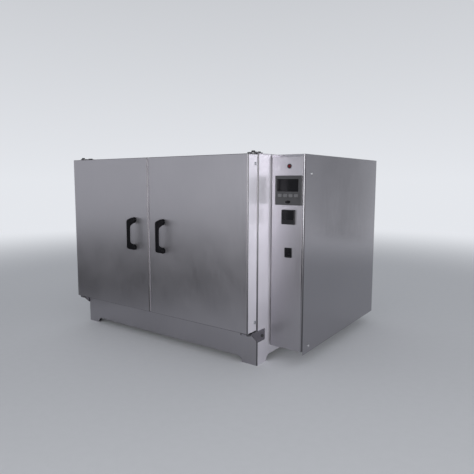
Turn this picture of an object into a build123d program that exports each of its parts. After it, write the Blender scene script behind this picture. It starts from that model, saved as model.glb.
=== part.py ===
from build123d import *

import os
from math import sqrt

# Industrial hot-air oven: a stainless cabinet with two insulated doors, and a control box on its right side.
# Millimetres. X runs from left to right, Y from front to back, Z up. The origin is on the floor, at the middle
# of the outline.

# Driving dimensions

# Sheet metal and general fits
sheet = 1.5
fit = 0.3
hairline = 0.2
running_fit = 0.05
corner_radius = 5.0

# Cabinet
cabinet_width = 887.0
cabinet_depth = 753.0
cabinet_height = 707.5
front_return = 25.0
rear_return = 20.0
lid_flange = 15.0
apron_height = 142.0
base_clearance = 10.0
base_flange = 20.0

# Feet
skirt_clearance = 20.5
foot_front = 62.0
foot_side = 58.0
foot_notch_radius = 20.0
foot_plate = 3.0

# Chamber
side_wall = 70.0
rear_wall = 80.0
floor_height = 168.0
roof_wall = 62.5
throat_depth = 15.0
insulation_margin = 4.0
lid_air_gap = 14.0

# Doors
door_thickness = 52.0
door_gap = 7.0
door_bottom = 124.5
door_top_drop = 3.0
door_split = 5.0
door_edge_radius = 2.0
plug_depth = 16.0
plug_clearance = 6.0
plug_meeting_margin = 12.0
plug_taper = 12.0
gasket_inset = 32.0
gasket_width = 15.0
gasket_corner = 24.0
meeting_seal_depth = 10.0
meeting_seal_inset = 14.0

# Handles
handle_length = 126.0
handle_reach = 36.0
handle_width = 14.0
handle_bar = 10.0
handle_bend = 17.0
handle_foot = 20.0
handle_edge = 3.0
handle_from_meeting = 75.0
handle_rise = 4.5

# Hinges: a pin stands at each outer corner of a door, above and below it
pivot_from_side = 10.0
pivot_from_door_back = 8.0
pin_radius = 4.0
pin_engagement = 18.0
pin_head_radius = 7.0
pin_head = 5.0
hinge_plate = 3.0
hinge_plate_width = 30.0
hinge_plate_reach = 27.0
hinge_plate_depth = 27.0
hinge_plate_nose = 11.0
tongue = 6.0
tongue_drop = 3.0
tongue_width = 40.0
tongue_reach = 52.0
tongue_nose = 16.0
leg = 3.0
leg_depth = 44.0
leg_height = 39.5
leg_screw = (27.0, 17.0)
plate_screw_insets = (8.5, 21.5)
plate_screw_depth = 18.0
socket_block = (24.0, 24.0, 40.0)
socket_collar = 6.5
socket_screw_height = 30.5
socket_screw_from_front = 17.0
socket_bore_spare = 2.0

# Screws
screw_radius = 3.0
screw_head_radius = 5.5
screw_head = 3.3
screw_shank = 13.0
small_screw_radius = 2.0
small_screw_head_radius = 4.2
small_screw_head = 2.4
small_screw_shank = 5.0
head_taper = 18.0

# Fan, heaters and probe
plenum = 85.0
fan_from_front = 345.0
impeller_radius = 100.0
impeller_depth = 38.0
impeller_gap = 14.0
impeller_plate = 2.0
blade_count = 12
blade_inner = 58.0
blade_rim = 4.0
blade_sweep = 30.0
hub_radius = 16.0
shaft_radius = 6.0
shaft_hole = 9.0
shaft_in_motor = 24.0
motor_radius = 50.0
motor_length = 88.0
motor_flange = 112.0
motor_flange_thickness = 5.0
heater_radius = 4.0
heater_span = 250.0
heater_lead = 42.0
heater_reach = 126.0
heater_bend = 20.0
heater_terminal = 14.0
probe_radius = 3.0
probe_from_heater = 25.0
probe_reach = 25.0
probe_head_radius = 8.0
probe_head = 14.0
service_rim = 15.0
service_edge = 7.0
service_thickness = 2.0
penetration_clearance = 1.5

# Duct panel
duct_from_front = 40.0
duct_from_back = 8.0
suction_radius = 88.0
suction_slot = 7.0
suction_pitch = 16.0
outlet_slot = (42.0, 7.0)
outlet_pitch = 26.0
outlet_count = 14
outlet_inset = 48.0

# Racks and shelves
rack_from_front = 62.0
rack_from_back = 22.0
rack_strip = 20.0
rack_strip_thickness = 2.0
runner_depth = 16.0
runner_height = 14.0
rack_pitch = 78.0
rack_margin = 30.0
shelf_levels = {"lower_shelf": -2, "upper_shelf": 0}
shelf_from_front = 78.0
shelf_from_back = 15.0
shelf_side_gap = 2.0
shelf_rod = 3.0
shelf_wire = 2.0
shelf_wire_pitch = 38.0
shelf_wire_sink = 0.8
shelf_corner = 14.0

# Exhaust
exhaust_radius = 20.0
exhaust_neck = 19.0
exhaust_bore = 17.5
exhaust_shoulder = 1.0
exhaust_reach = 31.0
exhaust_below_roof = 90.0
exhaust_from_left = 200.0

# Door magnets
magnet_size = (40.0, 14.0)
magnet_air = 0.5
magnet_from_middle = 40.0
magnet_below_top = 16.0

# Control box
seam = 5.0
control_width = 123.0
control_setback = 75.0
control_top_drop = 2.5
control_cover_bottom = 41.0
control_bottom = 53.5
cover_front_flange = 8.0
cover_rear_flange = 20.0
cover_bend = 6.0
cover_top_lip = 7.5
cover_top_setback = 2.5
fascia_return = 15.0
fascia_bend = 3.0
standoff_radius = 10.0
standoff_inset = (60.0, 70.0)
post = 8.0
post_from_front = (38.0, 52.0)
cover_screw_from_front = 46.5
cover_screw_low = 9.5
cover_screw_drop = 62.0
louvre = (34.0, 4.0)
louvre_pitch = 12.0
louvre_rows = 12
louvre_group_pitch = 168.0

# Instruments, on one centre line
instrument_line = 71.5
controller_size = 96.0
controller_gap = 22.5
controller_reach = 8.0
controller_case = 90.0
controller_case_depth = 64.0
controller_window = (78.0, 40.0)
controller_window_rise = 16.5
controller_window_offset = -1.5
window_thickness = 2.0
key_size = (14.0, 10.0)
key_pitch = 20.0
key_drop = 16.5
key_travel = 0.8
key_stand = 1.6
key_pocket = 5.0
badge_size = (18.0, 9.0)
badge_rise = 0.6
badge_drop = 37.5
limiter_size = 48.0
limiter_gap = 15.5
limiter_reach = 7.0
limiter_case = 44.0
limiter_case_depth = 58.0
limiter_window = (42.0, 28.0)
limiter_window_rise = 6.0
rocker_gap = 77.5
rocker_bezel = (26.0, 33.0)
rocker_opening = (19.0, 26.0)
rocker_body = (21.5, 29.0)
rocker_bezel_reach = 2.5
rocker_body_depth = 20.0
rocker_half = 11.9
rocker_lift = 5.0
rocker_dish = 2.2
rocker_tilt = 10.0
lamp_drop = 30.5
lamp_bezel_radius = 8.0
lamp_bezel_reach = 2.5
lamp_body_radius = 6.0
lamp_body_depth = 24.0
lamp_lens_radius = 5.0
lamp_lens_reach = 4.5
cutout_clearance = 0.5

# Inside the control box
relay_size = (30.0, 45.0, 58.0)
relay_fin = 2.5
relay_fin_count = 6
relay_from_rear = 90.0
relay_height = 180.0
gland_radius = 10.0
gland_bore = 5.5
gland_nut = 12.5
gland_nut_height = 6.0
gland_reach = 22.0
gland_inside = 9.0
gland_height = 105.0

# Outer limits, so that the outline is centred on the origin

left_stand = leg + screw_head
right_stand = seam + control_width + small_screw_head
front_stand = door_gap + door_thickness + handle_reach
x_left = left_stand - (left_stand + cabinet_width + right_stand) / 2
x_right = x_left + cabinet_width
x_middle = (x_left + x_right) / 2
y_front = front_stand - (front_stand + cabinet_depth + exhaust_reach) / 2
y_rear = y_front + cabinet_depth
y_back = y_rear - sheet
y_door_back = y_front - door_gap
y_door = y_door_back - door_thickness
z_lid = cabinet_height - sheet
z_door_top = cabinet_height - door_top_drop
z_tongue = door_bottom - tongue_drop
z_leg = z_tongue - leg_height
z_base = z_leg + leg_screw[1] + screw_radius + base_clearance
handle_height = (door_bottom + z_door_top) / 2 + handle_rise

# The clear opening, and the inner faces of the liner around its throat
x_open = (x_left + side_wall, x_right - side_wall)
z_open = (floor_height, cabinet_height - roof_wall)
x_liner = (x_open[0] - sheet - fit, x_open[1] + sheet + fit)
z_liner = (z_open[0] - sheet - fit, z_open[1] + sheet + fit)
y_liner = (y_front + sheet + fit, y_rear - rear_wall)

# Fan axis, and the planes of the plenum beside the chamber
y_fan = y_front + fan_from_front
z_fan = (z_open[0] + z_open[1]) / 2
rack_pairs = int(((z_open[1] - z_open[0]) / 2 - rack_margin) / rack_pitch + 0.5)
level_heights = [z_fan + (n + 0.5) * rack_pitch for n in range(-rack_pairs, rack_pairs)]
shelf_heights = {name: z_fan + (n + 0.5) * rack_pitch for name, n in shelf_levels.items()}
x_service = x_liner[1] - service_thickness
x_duct = x_service - plenum
x_backplate = x_service - impeller_gap
x_heater = x_backplate - impeller_depth / 2

# Control box
x_box = (x_right + seam, x_right + seam + control_width)
y_fascia = y_front + control_setback
z_box_top = cabinet_height - control_top_drop
x_chassis = x_box[0] + sheet
x_cover = x_box[1] - sheet
x_line = x_right + instrument_line
fascia_top = z_box_top - cover_top_lip
lamp_height = fascia_top - lamp_drop
controller_height = lamp_height - lamp_bezel_radius - controller_gap - controller_size / 2
limiter_height = controller_height - controller_size / 2 - limiter_gap - limiter_size / 2
rocker_height = limiter_height - limiter_size / 2 - rocker_gap - rocker_bezel[1] / 2


def facing_front(y):
    """Plane at depth y whose normal points to the front. Its own axes are X and Z."""
    return Plane(origin=(0, y, 0), x_dir=(1, 0, 0), z_dir=(0, -1, 0))


def facing_rear(y):
    """Plane at depth y whose normal points to the rear. Its own axes are minus X and Z."""
    return Plane(origin=(0, y, 0), x_dir=(-1, 0, 0), z_dir=(0, 1, 0))


def facing_right(x):
    """Plane at x whose normal points to the right. Its own axes are Y and Z."""
    return Plane(origin=(x, 0, 0), x_dir=(0, 1, 0), z_dir=(1, 0, 0))


def area(u, v, mode=Mode.ADD):
    """Rectangle between two limits on each axis of the open sketch."""
    with Locations(((u[0] + u[1]) / 2, (v[0] + v[1]) / 2)):
        Rectangle(abs(u[1] - u[0]), abs(v[1] - v[0]), mode=mode)


def bent_sheet(points, radius, thickness=sheet):
    """Section of a folded sheet whose middle line passes the points, in the open sketch."""
    with BuildLine() as middle_line:
        FilletPolyline(*points, radius=radius - thickness / 2)
    trace(middle_line.line, line_width=thickness)


def foot_notch(start, end):
    """Cut-out between two feet, in the open sketch, with its lower corners under the floor."""
    height = skirt_clearance + 3 * foot_notch_radius
    with Locations(((start + end) / 2, skirt_clearance - height / 2)):
        RectangleRounded(end - start, height, foot_notch_radius)


def hole(plane, places, radius, depth):
    """Round holes through a sheet that lies within depth of the plane."""
    with BuildSketch(plane) as circles:
        with Locations(*places):
            Circle(radius)
    extrude(circles.sketch, amount=depth, both=True, mode=Mode.SUBTRACT)


def rod(start, direction, length, radius, taper=0):
    """Round bar from a point, added to the open part."""
    with BuildSketch(Plane(origin=start, z_dir=direction)) as section:
        Circle(radius)
    extrude(section.sketch, amount=length, taper=taper)


def screw(seat, direction):
    """Button-head screw whose head sits on the seat and whose shank points along direction."""
    away = tuple(-d for d in direction)
    rod(seat, direction, screw_shank, screw_radius)
    rod(seat, away, screw_head, screw_head_radius, head_taper)


def small_screw(seat, direction):
    """Pan-head screw for the thin panels."""
    away = tuple(-d for d in direction)
    rod(seat, direction, small_screw_shank, small_screw_radius)
    rod(seat, away, small_screw_head, small_screw_head_radius, head_taper)


parts = {}


def finish(name, part):
    """Label a finished piece and keep it for export."""
    part.label = name
    parts[name] = part


# What passes the right wall, from the chamber to the control box: shaft, heater leads and probe

heater_leads = [
    (y_fan + side * heater_span / 2, z_fan + level * heater_lead) for side in (-1, 1) for level in (-1, 1)
]
probe_place = (y_fan + heater_span / 2 + probe_from_heater, z_fan + rack_pitch)


def wall_penetrations(x, depth, clearance=penetration_clearance):
    """Holes for everything that passes the right wall, in a sheet or slab near x."""
    hole(facing_right(x), [(y_fan, z_fan)], shaft_hole, depth)
    hole(facing_right(x), heater_leads, heater_radius + clearance, depth)
    hole(facing_right(x), [probe_place], probe_radius + clearance, depth)


# Side panels, each folded from one sheet, with two feet

rear_screw_levels = [z_base + 40, (z_base + z_lid) / 2, z_lid - 40]
leg_screw_place = (y_front + leg_screw[0], z_leg + leg_screw[1])


def side_panel(side):
    """Side of the cabinet with its returns, its skirt notch and a floor plate in each foot."""
    outer = x_right if side > 0 else x_left
    middle = outer - side * sheet / 2
    with BuildPart() as panel:
        with BuildSketch(Plane.XY):
            bent_sheet(
                [
                    (outer - side * rear_return, y_back - sheet / 2),
                    (middle, y_back - sheet / 2),
                    (middle, y_front + sheet / 2),
                    (outer - side * front_return, y_front + sheet / 2),
                ],
                corner_radius,
            )
        extrude(amount=z_lid)
        with BuildSketch(facing_right(outer)):
            foot_notch(y_front + foot_side, y_back - foot_side)
        extrude(amount=2 * sheet, both=True, mode=Mode.SUBTRACT)
        with BuildSketch(Plane.XY):
            for y in ((y_front + sheet, y_front + foot_side), (y_back - foot_side, y_back - sheet)):
                area((outer - side * sheet, outer - side * foot_front), y)
        extrude(amount=foot_plate)
        hole(facing_right(outer), [leg_screw_place], screw_radius + hairline, 2 * sheet)
        hole(
            facing_rear(y_back),
            [(side * rear_return / 2 - outer, z) for z in rear_screw_levels],
            small_screw_radius + hairline,
            2 * sheet,
        )
        if side > 0:
            wall_penetrations(x_right, 2 * sheet)
    return panel.part


finish("side_panel_left", side_panel(-1))
finish("side_panel_right", side_panel(1))

# Lid, with rounded front corners and a downturned flange inside the side panels

x_inside = (x_left + sheet + fit, x_right - sheet - fit)
y_inside = (y_front + sheet + fit, y_back - sheet - fit)


def inner_rim(is_open):
    """Outline that fits inside the side panels and their bends, whole or as a rim one sheet wide."""
    place = ((x_inside[0] + x_inside[1]) / 2, (y_inside[0] + y_inside[1]) / 2)
    size = (x_inside[1] - x_inside[0], y_inside[1] - y_inside[0])
    radius = corner_radius - sheet
    with Locations(place):
        RectangleRounded(*size, radius)
        if is_open:
            RectangleRounded(size[0] - 2 * sheet, size[1] - 2 * sheet, radius - sheet, mode=Mode.SUBTRACT)


plate_screw_places = [
    (x + side * inset, y_front + plate_screw_depth)
    for x, side in ((x_left, 1), (x_right, -1))
    for inset in plate_screw_insets
]

with BuildPart() as top_panel:
    with BuildSketch(Plane.XY.offset(z_lid)) as lid_outline:
        area((x_left, x_right), (y_front, y_rear))
        fillet(lid_outline.vertices().group_by(Axis.Y)[0], corner_radius)
    extrude(amount=sheet)
    with BuildSketch(Plane.XY.offset(z_lid)):
        inner_rim(True)
    extrude(amount=-lid_flange)
    hole(Plane.XY.offset(z_lid), plate_screw_places, screw_radius + hairline, 2 * sheet)
finish("top_panel", top_panel.part)

# Apron under the doors, with the notch between the front feet

x_face = (x_left + front_return + hairline, x_right - front_return - hairline)

with BuildPart() as front_apron:
    with BuildSketch(facing_front(y_front)) as apron_face:
        area(x_face, (0, apron_height))
    extrude(amount=-sheet)
    with BuildSketch(facing_front(y_front)):
        foot_notch(x_left + foot_front, x_right - foot_front)
    extrude(amount=2 * sheet, both=True, mode=Mode.SUBTRACT)
finish("front_apron", front_apron.part)

# Face that the doors close on, with the throat of the opening turned inwards

with BuildPart() as front_frame:
    with BuildSketch(facing_front(y_front)):
        area(x_face, (apron_height + hairline, z_lid))
        area(x_open, z_open, Mode.SUBTRACT)
    extrude(amount=-sheet)
    with BuildSketch(facing_front(y_front)):
        area((x_open[0] - sheet, x_open[1] + sheet), (z_open[0] - sheet, z_open[1] + sheet))
        area(x_open, z_open, Mode.SUBTRACT)
    extrude(amount=-throat_depth)
finish("front_frame", front_frame.part)

# Back sheet, screwed on the side panels' rear returns

rear_screw_columns = (x_left + rear_return / 2, x_right - rear_return / 2)
rear_screw_places = [(-x, z) for x in rear_screw_columns for z in rear_screw_levels]
x_exhaust = x_left + exhaust_from_left
z_exhaust = z_open[1] - exhaust_below_roof

with BuildPart() as rear_panel:
    with BuildSketch(facing_rear(y_back)):
        area((-x_left - hairline, -x_right + hairline), (skirt_clearance, z_lid - hairline))
    extrude(amount=sheet)
    hole(facing_rear(y_back), rear_screw_places, small_screw_radius + hairline, 2 * sheet)
    hole(facing_rear(y_back), [(-x_exhaust, z_exhaust)], exhaust_neck + hairline, 2 * sheet)
finish("rear_panel", rear_panel.part)

# Tray that closes the underside and carries the insulation

with BuildPart() as base_pan:
    with BuildSketch(Plane.XY.offset(z_base)):
        inner_rim(False)
    extrude(amount=sheet)
    with BuildSketch(Plane.XY.offset(z_base)):
        inner_rim(True)
    extrude(amount=base_flange)
finish("base_pan", base_pan.part)

# Welded liner of the chamber, open at the front

service_margin = service_edge + service_rim
service_half = (
    heater_span / 2 + probe_from_heater + probe_radius + service_margin,
    heater_reach + heater_radius + service_margin,
)
service_y = (y_fan - service_half[0], y_fan + service_half[0])
service_z = (z_fan - service_half[1], z_fan + service_half[1])

with BuildPart() as chamber_liner:
    with BuildSketch(facing_rear(y_liner[0])):
        area((-x_liner[0] + sheet, -x_liner[1] - sheet), (z_liner[0] - sheet, z_liner[1] + sheet))
        area((-x_liner[0], -x_liner[1]), z_liner, Mode.SUBTRACT)
    extrude(amount=y_liner[1] - y_liner[0])
    with BuildSketch(facing_rear(y_liner[1])):
        area((-x_liner[0] + sheet, -x_liner[1] - sheet), (z_liner[0] - sheet, z_liner[1] + sheet))
    extrude(amount=sheet)
    with BuildSketch(facing_right(x_liner[1])):
        area(
            (service_y[0] + service_rim, service_y[1] - service_rim),
            (service_z[0] + service_rim, service_z[1] - service_rim),
        )
    extrude(amount=2 * sheet, both=True, mode=Mode.SUBTRACT)
    hole(facing_rear(y_liner[1]), [(-x_exhaust, z_exhaust)], exhaust_neck + hairline, 2 * sheet)
finish("chamber_liner", chamber_liner.part)

# Mineral wool round the liner, open at the front

insulation_z = (z_base + sheet, z_lid - lid_air_gap)
insulation_y = (y_front + insulation_margin, y_back - insulation_margin)

with BuildPart() as insulation:
    with BuildSketch(facing_rear(insulation_y[0])):
        area((-x_left - insulation_margin, -x_right + insulation_margin), insulation_z)
    extrude(amount=insulation_y[1] - insulation_y[0])
    with BuildSketch(facing_rear(insulation_y[0])):
        area(
            (-x_liner[0] + sheet + fit, -x_liner[1] - sheet - fit),
            (z_liner[0] - sheet - fit, z_liner[1] + sheet + fit),
        )
    extrude(amount=y_liner[1] + sheet + fit - insulation_y[0], mode=Mode.SUBTRACT)
    wall_penetrations(x_right - side_wall / 2, side_wall)
    hole(facing_rear(y_rear - rear_wall / 2), [(-x_exhaust, z_exhaust)], exhaust_neck + fit, rear_wall)
finish("insulation", insulation.part)

# Plate on the liner's right wall that the shaft, the heaters and the probe pass

with BuildPart() as service_plate:
    with BuildSketch(facing_right(x_service)):
        area(service_y, service_z)
    extrude(amount=service_thickness)
    wall_penetrations(x_service, 2 * service_thickness, fit)
finish("service_plate", service_plate.part)

# Air guide in front of the fan: suction slots in a round field, and a column of outlets at each edge

y_duct = (y_front + duct_from_front, y_liner[1] - duct_from_back)
suction_rows = int(2 * suction_radius / suction_pitch)
outlet_columns = (y_duct[0] + outlet_inset, y_duct[1] - outlet_inset)

with BuildPart() as duct_panel:
    with BuildSketch(Plane.XY.offset(z_liner[0] + fit)):
        bent_sheet(
            [
                (x_liner[1] - fit, y_duct[0] + sheet / 2),
                (x_duct + sheet / 2, y_duct[0] + sheet / 2),
                (x_duct + sheet / 2, y_duct[1] - sheet / 2),
                (x_liner[1] - fit, y_duct[1] - sheet / 2),
            ],
            corner_radius,
        )
    extrude(amount=z_liner[1] - z_liner[0] - 2 * fit)
    with BuildSketch(facing_right(x_duct)):
        for row in range(suction_rows):
            rise = (row - (suction_rows - 1) / 2) * suction_pitch
            half_chord = sqrt(suction_radius**2 - rise**2)
            with Locations((y_fan, z_fan + rise)):
                Rectangle(2 * half_chord, suction_slot)
        for column in outlet_columns:
            with Locations((column, z_fan)):
                with GridLocations(outlet_slot[0], outlet_pitch, 1, outlet_count):
                    Rectangle(*outlet_slot)
    extrude(amount=2 * sheet, both=True, mode=Mode.SUBTRACT)
    hole(facing_right(x_duct), [probe_place], probe_radius + penetration_clearance, 2 * sheet)
finish("duct_panel", duct_panel.part)

# Racks: two upright strips with angle runners

y_rack = (y_front + rack_from_front, y_liner[1] - rack_from_back)


def rack(wall, side):
    """Rack against the wall at x = wall, with its runners pointing away from that side."""
    face = wall - side * rack_strip_thickness
    with BuildPart() as frame:
        with BuildSketch(Plane.XY.offset(z_liner[0])):
            for y in ((y_rack[0], y_rack[0] + rack_strip), (y_rack[1] - rack_strip, y_rack[1])):
                area((wall, face), y)
        extrude(amount=z_liner[1] - z_liner[0] - fit)
        with BuildSketch(facing_rear(y_rack[0])):
            for z in level_heights:
                area((-face, -face + side * sheet), (z - sheet, z - sheet + runner_height))
                area((-face, -face + side * runner_depth), (z - sheet, z))
        extrude(amount=y_rack[1] - y_rack[0])
    return frame.part


finish("rack_left", rack(x_liner[0], -1))
finish("rack_right", rack(x_duct, 1))

# Wire shelves: a round-rod frame with wires across it

x_shelf = (
    x_liner[0] + rack_strip_thickness + sheet + shelf_side_gap,
    x_duct - rack_strip_thickness - sheet - shelf_side_gap,
)
y_shelf = (y_front + shelf_from_front, y_liner[1] - shelf_from_back)
wire_count = int((x_shelf[1] - x_shelf[0] - 2 * shelf_corner) / shelf_wire_pitch)


def shelf(seat):
    """Shelf whose frame lies on the runners at the height of the seat."""
    frame_z = seat + fit + shelf_rod
    wire_z = frame_z + shelf_rod + shelf_wire - shelf_wire_sink
    with BuildLine() as loop:
        FilletPolyline(
            (x_shelf[1] - shelf_rod, y_shelf[0] + shelf_rod, frame_z),
            (x_shelf[1] - shelf_rod, y_shelf[1] - shelf_rod, frame_z),
            (x_shelf[0] + shelf_rod, y_shelf[1] - shelf_rod, frame_z),
            (x_shelf[0] + shelf_rod, y_shelf[0] + shelf_rod, frame_z),
            radius=shelf_corner,
            close=True,
        )
    with BuildPart() as wires:
        with BuildSketch(Plane(origin=loop.line @ 0, z_dir=loop.line % 0)):
            Circle(shelf_rod)
        sweep(path=loop.line)
        with BuildSketch(facing_rear(y_shelf[0] + shelf_rod / 2)):
            with Locations((-(x_shelf[0] + x_shelf[1]) / 2, wire_z)):
                with GridLocations(shelf_wire_pitch, shelf_wire, wire_count, 1):
                    Circle(shelf_wire)
        extrude(amount=y_shelf[1] - y_shelf[0] - shelf_rod)
    return wires.part


for shelf_name, shelf_height in shelf_heights.items():
    finish(shelf_name, shelf(shelf_height))

# Tubular heaters, a hairpin above and a hairpin below the impeller


def heater_path(level):
    """Route of a heater from its terminal through the wall, round the impeller and back."""
    x_end = x_chassis + heater_terminal
    near, far = y_fan - heater_span / 2, y_fan + heater_span / 2
    low, high = z_fan + level * heater_lead, z_fan + level * heater_reach
    with BuildLine() as path:
        FilletPolyline(
            (x_end, near, low),
            (x_heater, near, low),
            (x_heater, near, high),
            (x_heater, far, high),
            (x_heater, far, low),
            (x_end, far, low),
            radius=heater_bend,
        )
    return path.line


heater_paths = [heater_path(level) for level in (-1, 1)]

with BuildPart() as heaters:
    for route in heater_paths:
        with BuildSketch(Plane(origin=route @ 0, z_dir=route % 0)):
            Circle(heater_radius)
        sweep(path=route)
finish("heaters", heaters.part)

# Temperature probe, with its head in the control box

with BuildPart() as temperature_probe:
    rod((x_duct - probe_reach, *probe_place), (1, 0, 0), x_chassis - x_duct + probe_reach, probe_radius)
    with BuildSketch(facing_right(x_chassis)):
        with Locations(probe_place):
            RegularPolygon(probe_head_radius, 6)
    extrude(amount=probe_head)
finish("temperature_probe", temperature_probe.part)

# Impeller with backward-curved blades, on its shaft

with BuildPart() as impeller:
    with BuildSketch(facing_right(x_backplate)):
        with Locations((y_fan, z_fan)):
            Circle(impeller_radius)
    extrude(amount=-impeller_plate)
    with BuildSketch(facing_right(x_backplate)):
        with Locations((y_fan, z_fan)):
            Circle(hub_radius)
    extrude(amount=-impeller_depth / 2)
    with BuildSketch(Plane(origin=(x_backplate, y_fan, z_fan), x_dir=(0, 1, 0), z_dir=(1, 0, 0))) as blades:
        with BuildLine():
            ThreePointArc(
                Vector(blade_inner, 0),
                Vector((blade_inner + impeller_radius) / 2, 0).rotate(Axis.Z, blade_sweep / 3),
                Vector(impeller_radius - blade_rim, 0).rotate(Axis.Z, blade_sweep),
            )
        trace(line_width=impeller_plate)
        for n in range(1, blade_count):
            add(blades.faces()[0].rotate(Axis.Z, 360 / blade_count * n))
    extrude(amount=-impeller_depth)
    with BuildSketch(facing_right(x_backplate)):
        with Locations((y_fan, z_fan)):
            Circle(shaft_radius + running_fit)
    extrude(amount=impeller_depth, both=True, mode=Mode.SUBTRACT)
finish("impeller", impeller.part)

x_shaft = (x_backplate - impeller_depth / 2 - shaft_radius, x_chassis + shaft_in_motor - fit)

with BuildPart() as fan_shaft:
    rod((x_shaft[0], y_fan, z_fan), (1, 0, 0), x_shaft[1] - x_shaft[0], shaft_radius)
    chamfer(fan_shaft.edges().filter_by(GeomType.CIRCLE), shaft_radius / 6)
finish("fan_shaft", fan_shaft.part)

# Motor, with its flange on the chassis wall

with BuildPart() as fan_motor:
    with BuildSketch(facing_right(x_chassis)):
        with Locations((y_fan, z_fan)):
            RectangleRounded(motor_flange, motor_flange, 2 * corner_radius)
    extrude(amount=motor_flange_thickness)
    rod((x_chassis, y_fan, z_fan), (1, 0, 0), motor_length, motor_radius)
    fillet(fan_motor.faces().sort_by(Axis.X)[-1].edges(), 3 * corner_radius)
    hole(facing_right(x_chassis), [(y_fan, z_fan)], shaft_radius + running_fit, shaft_in_motor)
finish("fan_motor", fan_motor.part)

# Exhaust tube, from the liner through the back sheet, with a wider spout for a hose

with BuildPart() as exhaust_tube:
    y_spout = y_rear + exhaust_shoulder
    rod((x_exhaust, y_liner[1], z_exhaust), (0, 1, 0), y_spout - y_liner[1], exhaust_neck)
    rod((x_exhaust, y_spout, z_exhaust), (0, 1, 0), exhaust_reach - exhaust_shoulder, exhaust_radius)
    with BuildSketch(facing_rear(y_liner[1])):
        with Locations((-x_exhaust, z_exhaust)):
            Circle(exhaust_bore)
    extrude(amount=rear_wall + 2 * exhaust_reach, mode=Mode.SUBTRACT)
finish("exhaust_tube", exhaust_tube.part)

# Hinges. Plates on the lid hold the upper pins, and brackets on the side panels hold the lower pins

y_pivot = y_door_back - pivot_from_door_back
sides = {"left": (x_left, -1), "right": (x_right, 1)}

with BuildPart() as hinge_plates:
    for outer, side in sides.values():
        with BuildSketch(Plane.XY.offset(cabinet_height)) as plate_outline:
            area(
                (outer, outer - side * hinge_plate_width),
                (y_front - hinge_plate_reach, y_front + hinge_plate_depth),
            )
            fillet(plate_outline.vertices().group_by(Axis.Y)[0], hinge_plate_nose)
        extrude(amount=hinge_plate)
    hole(Plane.XY.offset(cabinet_height), plate_screw_places, screw_radius + hairline, 2 * hinge_plate)
    hole(
        Plane.XY.offset(cabinet_height),
        [(outer - side * pivot_from_side, y_pivot) for outer, side in sides.values()],
        pin_radius + running_fit,
        2 * hinge_plate,
    )
finish("hinge_plates", hinge_plates.part)


def hinge_bracket(outer, side):
    """Knee bracket under a door's outer corner: a tongue under the door, and a leg on the side panel."""
    with BuildPart() as bracket:
        with BuildSketch(Plane.XY.offset(z_tongue)) as tongue_outline:
            area((outer + side * leg, outer - side * tongue_width), (y_front - tongue_reach, y_front - fit))
            fillet(tongue_outline.vertices().group_by(Axis.Y)[0], tongue_nose)
        extrude(amount=-tongue)
        with BuildSketch(facing_right(outer)) as leg_outline:
            with BuildLine():
                Polyline(
                    (y_front - tongue_reach + tongue_nose, z_tongue),
                    (y_front + leg_depth, z_tongue),
                    (y_front + leg_depth, z_leg),
                    (y_front - fit, z_leg),
                    (y_front - tongue_reach + tongue_nose, z_tongue - tongue),
                    close=True,
                )
            make_face()
            fillet(leg_outline.vertices().group_by(Axis.Y)[0], tongue)
        extrude(amount=side * leg)
        hole(
            Plane.XY.offset(z_tongue),
            [(outer - side * pivot_from_side, y_pivot)],
            pin_radius + running_fit,
            2 * tongue,
        )
        hole(facing_right(outer), [leg_screw_place], screw_radius + hairline, 2 * leg)
    return bracket.part


for side_name, (outer, side) in sides.items():
    finish(f"hinge_bracket_{side_name}", hinge_bracket(outer, side))

with BuildPart() as hinge_pins:
    for outer, side in sides.values():
        x_pivot = outer - side * pivot_from_side
        top_seat = cabinet_height + hinge_plate
        low_seat = z_tongue - tongue
        rod((x_pivot, y_pivot, top_seat), (0, 0, -1), top_seat - z_door_top + pin_engagement, pin_radius)
        rod((x_pivot, y_pivot, top_seat), (0, 0, 1), pin_head, pin_head_radius, head_taper)
        rod((x_pivot, y_pivot, low_seat), (0, 0, 1), door_bottom - low_seat + pin_engagement, pin_radius)
        rod((x_pivot, y_pivot, low_seat), (0, 0, -1), pin_head, pin_head_radius, head_taper)
finish("hinge_pins", hinge_pins.part)

with BuildPart() as hinge_screws:
    for place in plate_screw_places:
        screw((*place, cabinet_height + hinge_plate), (0, 0, -1))
    for outer, side in sides.values():
        screw((outer + side * leg, *leg_screw_place), (-side, 0, 0))
finish("hinge_screws", hinge_screws.part)

# Doors


class Door:
    """Limits of one door: its hinged side, its meeting side and its middle."""

    def __init__(self, name, outer, side):
        self.name = name
        self.side = side
        self.outer = outer
        self.meeting = x_middle + side * door_split / 2
        self.x = (outer, self.meeting)
        self.middle = (self.outer + self.meeting) / 2
        self.x_inside = (outer - side * (sheet + fit), self.meeting + side * (sheet + fit))
        self.x_pivot = outer - side * pivot_from_side
        self.x_handle = x_middle + side * handle_from_meeting


doors = [Door(name, outer, side) for name, (outer, side) in sides.items()]
z_door = (door_bottom, z_door_top)
z_door_inside = (door_bottom + sheet + fit, z_door_top - sheet - fit)
foot_spacing = handle_length - handle_foot
handle_screw_levels = [handle_height - foot_spacing / 2, handle_height + foot_spacing / 2]
socket_screw_levels = [door_bottom + socket_screw_height, z_door_top - socket_screw_height]
y_socket_screw = y_front - socket_screw_from_front
y_socket_back = y_door_back - sheet - fit


def door_outline(door, inset, back):
    """Section of a door or of what fills it, seen from above, with rounded front corners."""
    with BuildSketch(Plane.XY) as outline:
        area((door.x[0] - door.side * inset, door.x[1] + door.side * inset), (y_door + inset, back))
        fillet(outline.vertices().group_by(Axis.Y)[0], corner_radius - inset)
    return outline.sketch


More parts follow.
